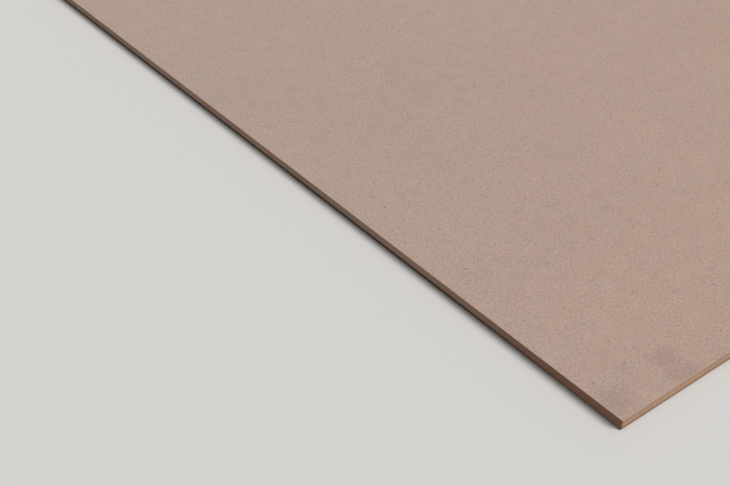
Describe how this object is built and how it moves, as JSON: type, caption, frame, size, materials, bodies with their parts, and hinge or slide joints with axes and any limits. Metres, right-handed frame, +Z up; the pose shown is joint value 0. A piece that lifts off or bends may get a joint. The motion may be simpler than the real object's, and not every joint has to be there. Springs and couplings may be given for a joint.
{
  "type": "mdf board",
  "caption": "Flat full sheet of thin raw medium density fibreboard with sanded faces and sawn edges, used as backing, lining or a base for melamine film.",
  "frame": {"origin": "middle of the underside, on the surface that the sheet lies on", "axes": "+X along the length, +Y along the width, +Z up out of the upper face"},
  "size_m": [2.44, 1.22, 0.003],
  "materials": {
    "fibreboard": "matte"
  },
  "bodies": {
    "root": {"mdf_board": "fibreboard"}
  },
  "joints": []
}
